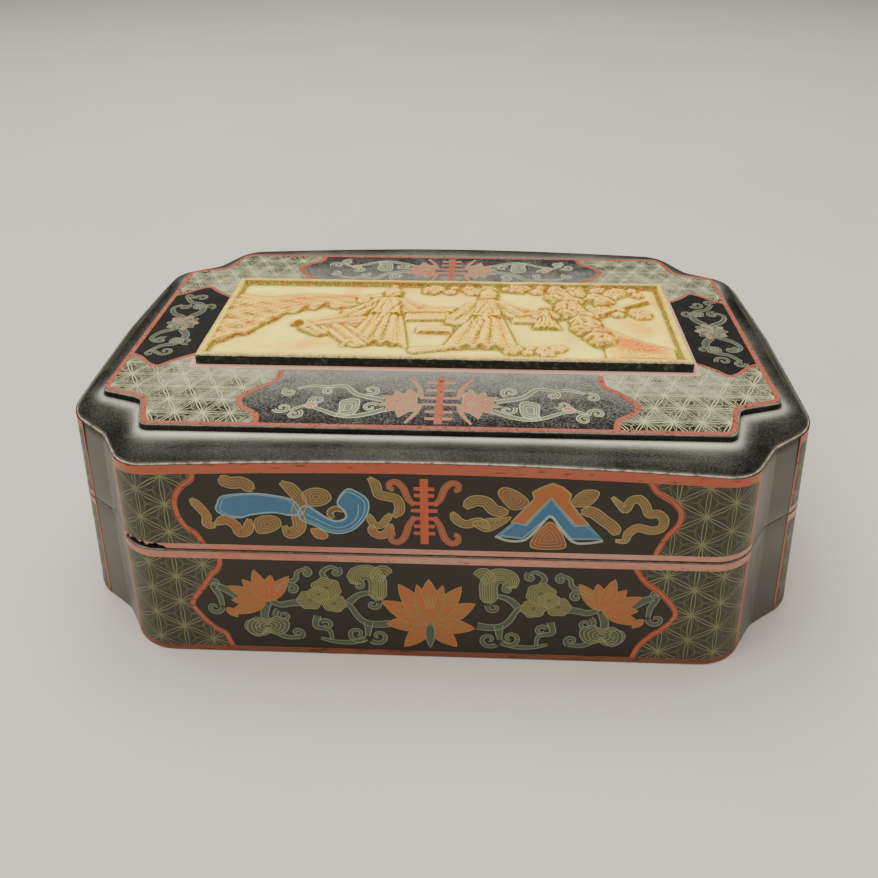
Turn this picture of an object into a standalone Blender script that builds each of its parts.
"""Lidded lacquer box with notched, softly lobed corners and a carved plaque on its lid.

Metres, +Z up. The origin is at the middle of the box's underside: +X runs along
its length, and -Y faces the front. The base, the lid and the plaque are the three
separate pieces. The base's upstand locates the lid, which lifts straight off.
"""

import bmesh
import bpy
import numpy as np
from mathutils import Vector

MM = 0.001

# Plan of the box
LENGTH = 290 * MM
DEPTH = 197 * MM
CORNER_REACH = 45 * MM  # from a bounding corner to the end of each straight face
LOBE_RADIUS = 20.5 * MM
LOBE_SWEEP = np.radians(55)
HOLLOW_RADIUS = 10 * MM  # the soft inner corner between two lobes
LOBE_STEPS = 6
HOLLOW_STEPS = 2
LONG_FACE_STOPS = (-0.66, -0.33, 0.0, 0.33, 0.66)  # shares of half a straight face
SHORT_FACE_STOPS = (-0.5, 0.0, 0.5)
LEAN = 0.038  # how far the sides lean in for each unit of height
SIDE_LEAN = 0.022  # and how much more the short faces do

# Base
FLOOR = 5 * MM
BASE_HEIGHT = 48.5 * MM
WALL = 4.6 * MM
UPSTAND_WALL = 2.4 * MM
UPSTAND_HEIGHT = 4.5 * MM
EDGE = 0.6 * MM  # worn edges of the seam and the foot
FLOOR_COVE = 2.5 * MM

# Lid
SEAM_GAP = 0.3 * MM
LID_CLEARANCE = 0.4 * MM  # between the lid's wall and the base's upstand
SHOULDER_EDGE = 88.5 * MM  # height of the side faces at the middle of each face
CORNER_DROP = 4.4 * MM  # how much lower that edge runs at the corners
DROP_LENGTH = 110 * MM
DROP_POWER = 1.7
SHOULDER_ROLL = 1.5 * MM
SHOULDER_SHARES = (0.1, 0.26, 0.44, 0.64, 0.84)
PANEL_TOP = 91 * MM
PANEL_STEP = 2.5 * MM
PANEL_MARGIN_SIDE = 15.5 * MM
PANEL_MARGIN_FRONT = 19.5 * MM
PANEL_CORNER_STEP = 22.7 * MM
PANEL_CORNER_INNER = 17.3 * MM
PANEL_CORNER_RADIUS = 4.5 * MM
LID_TOP_THICKNESS = 7.5 * MM
CEILING_COVE = 7.5 * MM

# Plaque
PLAQUE_LENGTH = 199 * MM
PLAQUE_DEPTH = 74 * MM
PLAQUE_RIGHT = 0.8 * MM  # it sits a shade to the right of the middle
PLAQUE_BACK = 1.3 * MM  # and a shade behind it
PLAQUE_GAP = 0.3 * MM
PLAQUE_RIM_HEIGHT = 4.75 * MM
PLAQUE_GROUND_HEIGHT = 3 * MM
RELIEF_RISE = 2.0 * MM
PLAQUE_RIM = 1.4 * MM
PLAQUE_RIM_SLOPE = 2.2 * MM
PLAQUE_CORNER_EASE = 1.3 * MM
PLAQUE_COLUMNS = 92
PLAQUE_ROWS = 34

# Damage
RIM_CHIP_HEIGHT = 3.6 * MM
RIM_CHIP_DEPTH = 3.2 * MM
RIM_CHIP_STEPS = 9
FOOT_CHIP_PLACE = 7 * MM
FOOT_CHIP_LENGTH = 8 * MM
FOOT_CHIP_HEIGHT = 1.6 * MM
FOOT_CHIP_DEPTH = 1.8 * MM

HALF = Vector((LENGTH / 2, DEPTH / 2))
LID_RIM = BASE_HEIGHT + SEAM_GAP
PLAQUE_FOOT = PANEL_TOP + PLAQUE_GAP


def clear_scene():
    for obj in list(bpy.data.objects):
        bpy.data.objects.remove(obj, do_unlink=True)


def lacquer(name, colour, roughness):
    """A Principled material, its colour in linear values."""
    material = bpy.data.materials.new(name)
    material.use_nodes = True
    shader = material.node_tree.nodes["Principled BSDF"]
    shader.inputs["Base Color"].default_value = (*colour, 1)
    shader.inputs["Roughness"].default_value = roughness
    shader.inputs["Metallic"].default_value = 0.0
    material.diffuse_color = (*colour, 1)
    return material


def arc(centre, radius, start, end, steps):
    angles = np.linspace(start, end, steps + 1)
    return [centre + radius * Vector((np.cos(a), np.sin(a))) for a in angles]


def quarter_corner(inset):
    """The back right corner, from the short face round to the long face: lobe, soft hollow, lobe."""
    far, near = np.pi / 2 - LOBE_SWEEP, LOBE_SWEEP
    side_lobe = HALF - Vector((LOBE_RADIUS, CORNER_REACH))
    back_lobe = HALF - Vector((CORNER_REACH, LOBE_RADIUS))
    reach = np.cos(LOBE_SWEEP) * LOBE_RADIUS + np.sin(LOBE_SWEEP) * CORNER_REACH
    hollow_offset = (reach - LOBE_RADIUS - HOLLOW_RADIUS) / (np.cos(LOBE_SWEEP) + np.sin(LOBE_SWEEP))
    hollow = HALF - Vector((hollow_offset, hollow_offset))
    lobe = LOBE_RADIUS - inset
    points = arc(side_lobe, lobe, 0, LOBE_SWEEP, LOBE_STEPS)
    points += arc(hollow, -(HOLLOW_RADIUS + inset), near, far, HOLLOW_STEPS)
    points += arc(back_lobe, lobe, far, np.pi / 2, LOBE_STEPS)
    return points


def fillet(before, corner, after, radius, steps):
    """Points of the arc that rounds a corner between two straight edges."""
    u = (before - corner).normalized()
    v = (after - corner).normalized()
    half_angle = u.angle(v) / 2
    reach = radius / np.tan(half_angle)
    centre = corner + (u + v).normalized() * radius / np.sin(half_angle)
    first, last = corner + u * reach - centre, corner + v * reach - centre
    turn = first.angle_signed(last)
    points = []
    for share in np.linspace(0, 1, steps + 1):
        c, s = np.cos(-turn * share), np.sin(-turn * share)
        points.append(centre + Vector((first.x * c - first.y * s, first.x * s + first.y * c)))
    return points


def quarter_panel_corner():
    """The panel's back right corner, stepped in once, with as many points as a corner of the box."""
    bound = HALF - Vector((PANEL_MARGIN_SIDE, PANEL_MARGIN_FRONT))
    side = bound - Vector((0, PANEL_CORNER_STEP))
    inner = bound - Vector((PANEL_CORNER_INNER, PANEL_CORNER_INNER))
    back = bound - Vector((PANEL_CORNER_STEP, 0))
    below = side - Vector((0, PANEL_CORNER_STEP))
    beyond = back - Vector((PANEL_CORNER_STEP, 0))
    points = fillet(below, side, inner, PANEL_CORNER_RADIUS, LOBE_STEPS - 1)
    points += fillet(side, inner, back, PANEL_CORNER_RADIUS, HOLLOW_STEPS + 2)
    points += fillet(inner, back, beyond, PANEL_CORNER_RADIUS, LOBE_STEPS - 1)
    return points


def closed_loop(corner):
    """The whole outline from its back right corner, anticlockwise, with stops along the straight faces."""
    mirrored = [Vector((-p.x, p.y)) for p in reversed(corner)]
    x, y = corner[-1].x, corner[0].y
    back = [Vector((-share * x, corner[-1].y)) for share in LONG_FACE_STOPS]
    side = [Vector((-corner[0].x, -share * y)) for share in SHORT_FACE_STOPS]
    half = corner + back + mirrored + side
    return half + [-p for p in half]


def outline(inset, height):
    """The box's outline at a height, where the lean has already drawn it in."""
    corner = quarter_corner(inset + LEAN * height)
    for point in corner:
        beyond = max((point.x + CORNER_REACH - HALF.x) / CORNER_REACH, 0)
        point.x -= SIDE_LEAN * height * beyond**2
    return closed_loop(corner)


def ring(inset, height):
    return [(p.x, p.y, height) for p in outline(inset, height)]


def edge_drop(point):
    """How far the shoulder's edge has come down at a point: most at a corner, nothing at mid face."""
    along_long = HALF.x - CORNER_REACH + LOBE_RADIUS * np.sin(LOBE_SWEEP) - abs(point.x)
    along_short = HALF.y - CORNER_REACH + LOBE_RADIUS * np.sin(LOBE_SWEEP) - abs(point.y)
    away = min(max(along_long, along_short, 0.0), DROP_LENGTH)
    return CORNER_DROP * (1 - away / DROP_LENGTH) ** DROP_POWER


def shoulder_ring(share):
    """A line round the lid's shoulder, a share of the way from the side faces to the raised panel."""
    outer = outline(EDGE, SHOULDER_EDGE)
    inner = closed_loop(quarter_panel_corner())
    roll = SHOULDER_ROLL * (np.sin(np.pi * share) + 0.45 * np.sin(2 * np.pi * share))
    points = []
    for a, b in zip(outer, inner):
        edge = SHOULDER_EDGE - edge_drop(a)
        height = edge + (PANEL_TOP - PANEL_STEP - edge) * share + roll
        place = a.lerp(b, share)
        points.append((place.x, place.y, height))
    return points


def side_top_ring():
    outer = outline(0, SHOULDER_EDGE)
    return [(p.x, p.y, SHOULDER_EDGE - EDGE - edge_drop(p)) for p in outer]


def panel_ring(height):
    return [(p.x, p.y, height) for p in closed_loop(quarter_panel_corner())]


def shell(name, rings, material):
    """A closed body from rings of equal count, the first and last of them capped."""
    mesh = bmesh.new()
    loops = [[mesh.verts.new(p) for p in points] for points in rings]
    for lower, upper in zip(loops, loops[1:]):
        for i in range(len(lower)):
            mesh.faces.new((lower[i - 1], lower[i], upper[i], upper[i - 1]))
    mesh.faces.new(reversed(loops[0]))
    mesh.faces.new(loops[-1])
    return finish(name, mesh, material)


def finish(name, mesh, material):
    bmesh.ops.recalc_face_normals(mesh, faces=mesh.faces)
    data = bpy.data.meshes.new(name)
    mesh.to_mesh(data)
    mesh.free()
    data.materials.append(material)
    data.shade_smooth()
    data.set_sharp_from_angle(angle=np.radians(35))
    obj = bpy.data.objects.new(name, data)
    bpy.context.scene.collection.objects.link(obj)
    return obj


def cut(target, cutter):
    cutter.hide_render = True
    cutter.display_type = "WIRE"
    modifier = target.modifiers.new(cutter.name, "BOOLEAN")
    modifier.operation = "DIFFERENCE"
    modifier.solver = "EXACT"
    modifier.object = cutter


def build_base(material):
    """Hollow base: a floor, a wall, and a thin upstand inside its rim for the lid."""
    upstand_outer = WALL + LID_CLEARANCE
    inner = upstand_outer + UPSTAND_WALL
    top = BASE_HEIGHT + UPSTAND_HEIGHT
    rings = [
        ring(inner + FLOOR_COVE, FLOOR),
        ring(inner, FLOOR + FLOOR_COVE),
        ring(inner, top),
        ring(upstand_outer + EDGE, top),
        ring(upstand_outer, top - EDGE),
        ring(upstand_outer, BASE_HEIGHT),
        ring(EDGE, BASE_HEIGHT),
        ring(0, BASE_HEIGHT - EDGE),
        ring(0, EDGE),
        ring(EDGE, 0),
    ]
    return shell("box_base", rings, material)


def build_lid(material):
    """Hollow lid: side wall, ogee shoulder that drops a little at the corners, and a raised stepped panel."""
    ceiling = PANEL_TOP - LID_TOP_THICKNESS
    rings = [
        ring(WALL + CEILING_COVE, ceiling),
        ring(WALL, ceiling - CEILING_COVE),
        ring(WALL, LID_RIM),
        ring(EDGE, LID_RIM),
        ring(0, LID_RIM + EDGE),
        side_top_ring(),
    ]
    rings += [shoulder_ring(share) for share in (0.0, *SHOULDER_SHARES, 1.0)]
    rings.append(panel_ring(PANEL_TOP))
    return shell("lid", rings, material)


def jagged(step):
    """An uneven share, from 0.35 to 1, for the broken edge of a chip."""
    return 0.68 + 0.32 * np.sin(2.4 * step + 0.6) * np.cos(1.1 * step)


def rim_chip():
    """The piece lost from the lid's rim round its front left lobe."""
    centre = Vector((CORNER_REACH - HALF.x, LOBE_RADIUS - HALF.y))
    radius = LOBE_RADIUS - LEAN * LID_RIM
    proud = radius + 2 * MM
    mesh = bmesh.new()
    stations = []
    for step in range(RIM_CHIP_STEPS + 1):
        share = step / RIM_CHIP_STEPS
        angle = -np.pi / 2 - LOBE_SWEEP * (0.04 + 0.9 * share)
        direction = Vector((np.cos(angle), np.sin(angle)))
        rise = RIM_CHIP_HEIGHT * jagged(step) * min(1, 6 * share + 0.2, 6 * (1 - share) + 0.2)
        inner = centre + direction * (radius - RIM_CHIP_DEPTH * (0.75 + 0.25 * jagged(step + 3)))
        outer = centre + direction * proud
        stations.append([
            mesh.verts.new((*outer, LID_RIM - EDGE)),
            mesh.verts.new((*inner, LID_RIM - EDGE)),
            mesh.verts.new((*inner, LID_RIM + 0.6 * rise)),
            mesh.verts.new((*outer, LID_RIM + 1.15 * rise)),
        ])
    for near, far in zip(stations, stations[1:]):
        for i in range(4):
            mesh.faces.new((near[i - 1], near[i], far[i], far[i - 1]))
    mesh.faces.new(stations[0])
    mesh.faces.new(reversed(stations[-1]))
    return finish("rim_chip_cutter", mesh, None)


def foot_chip():
    """A small flake off the front bottom edge."""
    mesh = bmesh.new()
    half = FOOT_CHIP_LENGTH / 2
    front = -HALF.y
    profile = ((-1.0, 0.15), (-0.55, 0.9), (0.1, 0.7), (0.5, 1.0), (1.0, 0.2))
    stations = []
    for along, share in profile:
        x = FOOT_CHIP_PLACE + half * along
        stations.append([
            mesh.verts.new((x, front - MM, -MM)),
            mesh.verts.new((x, front + FOOT_CHIP_DEPTH * share, -MM)),
            mesh.verts.new((x, front - MM, FOOT_CHIP_HEIGHT * share + MM)),
        ])
    for near, far in zip(stations, stations[1:]):
        for i in range(3):
            mesh.faces.new((near[i - 1], near[i], far[i], far[i - 1]))
    mesh.faces.new(stations[0])
    mesh.faces.new(reversed(stations[-1]))
    return finish("foot_chip_cutter", mesh, None)


def rounded_top(share):
    """A cushion-shaped section: 1 in the middle of a form, 0 at its edge and beyond."""
    return np.sqrt(np.clip(1 - share**2, 0, 1))


def mound(u, v, centre, size, height, turn=0.0):
    """A smooth oval rise."""
    c, s = np.cos(turn), np.sin(turn)
    du, dv = u - centre[0], v - centre[1]
    along, across = (c * du + s * dv) / size[0], (c * dv - s * du) / size[1]
    return height * rounded_top(np.hypot(along, across))


def limb(u, v, start, end, widths, height, folds=0.0):
    """A tapered rounded form from one point to another, such as a sleeve or a branch, with folds along it."""
    start, end = np.array(start, float), np.array(end, float)
    run = end - start
    share = np.clip(((u - start[0]) * run[0] + (v - start[1]) * run[1]) / (run @ run), 0, 1)
    off_u, off_v = u - start[0] - share * run[0], v - start[1] - share * run[1]
    width = widths[0] + (widths[1] - widths[0]) * share
    across = (off_v * run[0] - off_u * run[1]) / np.hypot(*run) / width
    crease = 1 - folds * (0.5 - 0.5 * np.cos(7 * across + 2 * share))
    return height * crease * rounded_top(np.hypot(off_u, off_v) / width)


def slab(u, v, centre, size, height, turn=0.0):
    """A flat-topped form with softened edges, such as a low table."""
    c, s = np.cos(turn), np.sin(turn)
    du, dv = u - centre[0], v - centre[1]
    along, across = abs(c * du + s * dv) / size[0], abs(c * dv - s * du) / size[1]
    return height * np.clip(5 * (1 - np.maximum(along, across)), 0, 1)


def robed_figure(u, v, foot, tall, hem, sway, arms):
    """A robed figure: flared skirt in folds, sash, chest, two wide sleeves, head and topknot.

    foot is the middle of the hem, hem its half width, sway how far the head stands
    to the right of the foot, and arms where each sleeve ends, as shares of the height.
    """
    x = (u - foot[0] - sway * (v - foot[1]) / tall) / tall
    y = (v - foot[1]) / tall
    flare = hem / tall
    skirt = [limb(x, y, (0, -0.06), (0, 0.52), (0.5 * flare, 0.11), 0.95, 0.35)]
    for side in (-1, 1):
        foot_end, waist_end = (0.5 * flare * side, -0.06), (0.035 * side, 0.5)
        skirt.append(limb(x, y, foot_end, waist_end, (0.62 * flare, 0.1), 0.85, 0.3))
    hem_line = 0.02 + 0.012 * np.cos(16 * x / flare) - 0.03 * (x / flare) ** 2
    skirt = np.maximum.reduce(skirt) * np.clip((y - hem_line) / 0.03, 0, 1)
    chest = limb(x, y, (0, 0.5), (0, 0.7), (0.115, 0.13), 1.05, 0.12)
    sash = slab(x, y, (0, 0.5), (0.13, 0.022), 1.08)
    sleeves = []
    for side, (reach, level) in zip((-1, 1), arms):
        sleeves.append(limb(x, y, (0.1 * side, 0.72), (reach, level), (0.06, 0.105), 1.1, 0.25))
        sleeves.append(mound(x, y, (reach + 0.05 * side, level + 0.02), (0.05, 0.045), 1.0))
    head = mound(x, y, (0.0, 0.865), (0.068, 0.085), 1.25)
    hair = mound(x, y, (0, 0.915), (0.075, 0.05), 1.18)
    topknot = mound(x, y, (0, 0.98), (0.035, 0.035), 1.1)
    return np.maximum.reduce([skirt, chest, sash, *sleeves, head, hair, topknot])


def reclining_figure(u, v):
    """A figure lying back on one elbow, its robe trailing away up the slope."""
    forms = [
        limb(u, v, (-58, -9), (-42, -1), (5.2, 7.5), 0.95, 0.3),
        limb(u, v, (-60, -12), (-54, -19), (3.4, 4.6), 0.9, 0.3),
        limb(u, v, (-55, -18), (-44, -16), (4.2, 3.4), 0.85, 0.3),
        mound(u, v, (-65, -8.5), (3.2, 3.9), 1.2),
        mound(u, v, (-66, -5.6), (2.8, 2.2), 1.1),
    ]
    return np.maximum.reduce(forms)


def foliage(u, v, start, end, count, size, height):
    """A bank of leaf clumps along a line, each a little off it, scored into leaves."""
    total = np.zeros_like(u)
    for i in range(count):
        share = i / (count - 1)
        cu = start[0] + (end[0] - start[0]) * share + 0.25 * size * np.cos(3.1 * i)
        cv = start[1] + (end[1] - start[1]) * share + 0.45 * size * np.sin(2.3 * i)
        reach = size * (0.8 + 0.3 * np.sin(1.3 * i + 1))
        bearing = np.arctan2(v - cv, u - cu)
        leafy = reach * (0.86 + 0.14 * np.cos(7 * bearing + i))
        away = np.hypot(u - cu, 1.15 * (v - cv)) / leafy
        leaves = 0.86 + 0.14 * np.cos(7 * bearing + i) * np.clip(2 * away, 0, 1)
        total = np.maximum(total, height * leaves * rounded_top(away) * (0.85 + 0.15 * np.cos(1.7 * i)))
    return total


def rocks(u, v, start, end, count, size, height):
    """A crag of angular boulders along a line, each face cut in slanting strokes."""
    total = np.zeros_like(u)
    for i in range(count):
        share = i / (count - 1)
        cu = start[0] + (end[0] - start[0]) * share + 1.6 * np.sin(1.9 * i)
        cv = start[1] + (end[1] - start[1]) * share
        turn = 0.5 + 0.7 * np.sin(2.1 * i)
        du = (np.cos(turn) * (u - cu) + np.sin(turn) * (v - cv)) / size
        dv = (np.cos(turn) * (v - cv) - np.sin(turn) * (u - cu)) / size
        facet = 1 - np.maximum.reduce([abs(du), abs(dv) * 1.2, abs(du + dv) * 0.75, abs(du - dv) * 0.6])
        strokes = 1 + 0.12 * np.sin(9 * du + 3 * dv)
        total = np.maximum(total, height * strokes * np.clip(1.9 * facet, 0, 1) ** 0.7)
    return total


def hillside(u, v):
    """The slope that rises from the front left corner to the back, furrowed, its lower edge ragged."""
    ragged = 1.8 * np.sin(u / 3.1) + 1.1 * np.sin(u / 1.3)
    edge = np.minimum(-29 + (u + 97) * 1.15, 9) + ragged
    inside = np.clip((v - edge) / 2.5, 0, 1)
    top = np.clip((26 + 0.05 * u + 1.5 * np.sin(u / 5.7) - v) / 9, 0, 1)
    right = np.clip((-26 - u - 0.03 * (v - 15) ** 2) / 16, 0, 1)
    furrows = 1 + 0.2 * np.sin((v - 0.35 * u) / 1.7) + 0.1 * np.sin((v + 0.5 * u) / 1.1)
    return 0.7 * np.sqrt(inside * top * right) * furrows


def spur(u, v):
    """The low spur in the front right corner, its crest running down to the right."""
    crest = -10.5 - 0.9 * (u - 73) + 0.012 * (u - 73) ** 2
    flank = np.clip((crest - v) / 3, 0, 1) * np.clip((u - 66) / 4, 0, 1) * np.clip((94 - u) / 8, 0, 1)
    return 0.75 * np.sqrt(flank) * (1 - 0.35 * np.clip((crest - v - 3) / 14, 0, 1))


def plaque_relief(u, v):
    """The carving's height as a share of its rise, at points in mm from the plaque's middle."""
    forms = [
        hillside(u, v),
        reclining_figure(u, v),
        robed_figure(u, v, (-29, -25), 56, 13, 4, ((-0.25, 0.5), (0.2, 0.62))),
        mound(u, v, (-38, 15.5), (3.6, 4.4), 1.15),
        mound(u, v, (-38.6, 19), (3.9, 2.4), 1.05),
        0.6 * slab(u, v, (-8, 8.5), (12.5, 3.4), 1.0, 0.04),
        0.4 * slab(u, v, (-8, 2.5), (11, 4), 1.0, 0.04),
        0.45 * slab(u, v, (-4.5, -10), (8, 2.8), 1.0),
        robed_figure(u, v, (15, -27), 57, 15, 4, ((-0.2, 0.46), (0.24, 0.6))),
        0.6 * slab(u, v, (34.5, 6.5), (7, 3), 1.0),
        0.4 * slab(u, v, (34.5, 1), (6, 4), 1.0),
        0.85 * robed_figure(u, v, (43.5, -8), 21, 6, 0, ((-0.2, 0.5), (0.2, 0.5))),
        foliage(u, v, (-9, 29), (30, 32), 10, 4.6, 0.85),
        foliage(u, v, (31, 32), (88, 29), 14, 5.2, 0.95),
        limb(u, v, (63, 4), (90, 20), (1.6, 1.0), 0.7),
        foliage(u, v, (66, 9), (87, 9), 6, 4.8, 0.95),
        rocks(u, v, (52, 22), (66, -18), 9, 6.6, 1.1),
        rocks(u, v, (70, 20), (60, 26), 3, 5.0, 0.8),
        foliage(u, v, (27, -27), (46, -26.5), 7, 4.0, 0.75),
        limb(u, v, (-12, -28), (4, -25), (2.6, 1.4), 0.5, 0.2),
        spur(u, v),
    ]
    return np.maximum.reduce(forms)


def stations(half, inner_count):
    """Grid lines across one direction of the plaque: edge, rim, slope, even field, slope, rim, edge."""
    slope_end = half - PLAQUE_RIM - PLAQUE_RIM_SLOPE
    field = np.linspace(-slope_end, slope_end, inner_count + 1)
    rim = half - PLAQUE_RIM
    return np.concatenate([[-half, -rim], field, [rim, half]])


def build_plaque(material):
    """Carved plaque: a plain rim round a sunk ground with figures, rocks and foliage in relief."""
    half_u, half_v = PLAQUE_LENGTH / 2, PLAQUE_DEPTH / 2
    us, vs = stations(half_u, PLAQUE_COLUMNS), stations(half_v, PLAQUE_ROWS)
    u, v = np.meshgrid(us, vs)
    depth_in = np.minimum(half_u - abs(u), half_v - abs(v))
    sunk = np.clip((depth_in - PLAQUE_RIM) / PLAQUE_RIM_SLOPE, 0, 1)
    ground = PLAQUE_RIM_HEIGHT + (PLAQUE_GROUND_HEIGHT - PLAQUE_RIM_HEIGHT) * sunk
    height = PLAQUE_FOOT + ground + RELIEF_RISE * sunk * plaque_relief(u / MM, v / MM)
    corner = (abs(u) == half_u) & (abs(v) == half_v)
    u = np.where(corner, u - np.sign(u) * PLAQUE_CORNER_EASE, u)
    v = np.where(corner, v - np.sign(v) * PLAQUE_CORNER_EASE, v)
    u, v = u + PLAQUE_RIGHT, v + PLAQUE_BACK
    mesh = bmesh.new()
    top = [[mesh.verts.new(point) for point in row] for row in np.stack([u, v, height], axis=-1)]
    for lower, upper in zip(top, top[1:]):
        for i in range(1, len(us)):
            mesh.faces.new((lower[i - 1], lower[i], upper[i], upper[i - 1]))
    border = top[0][:-1] + [row[-1] for row in top[:-1]] + top[-1][:0:-1] + [row[0] for row in top[:0:-1]]
    foot = [mesh.verts.new((p.co.x, p.co.y, PLAQUE_FOOT)) for p in border]
    for i in range(len(border)):
        mesh.faces.new((foot[i - 1], foot[i], border[i], border[i - 1]))
    mesh.faces.new(reversed(foot))
    return finish("carved_plaque", mesh, material)


def main():
    clear_scene()
    black = lacquer("black_lacquer", (0.012, 0.010, 0.009), 0.35)
    brown = lacquer("brown_black_lacquer", (0.018, 0.013, 0.010), 0.4)
    stone = lacquer("carved_pale_stone", (0.76, 0.56, 0.25), 0.45)
    base = build_base(brown)
    lid = build_lid(black)
    build_plaque(stone)
    cut(base, foot_chip())
    cut(lid, rim_chip())


main()
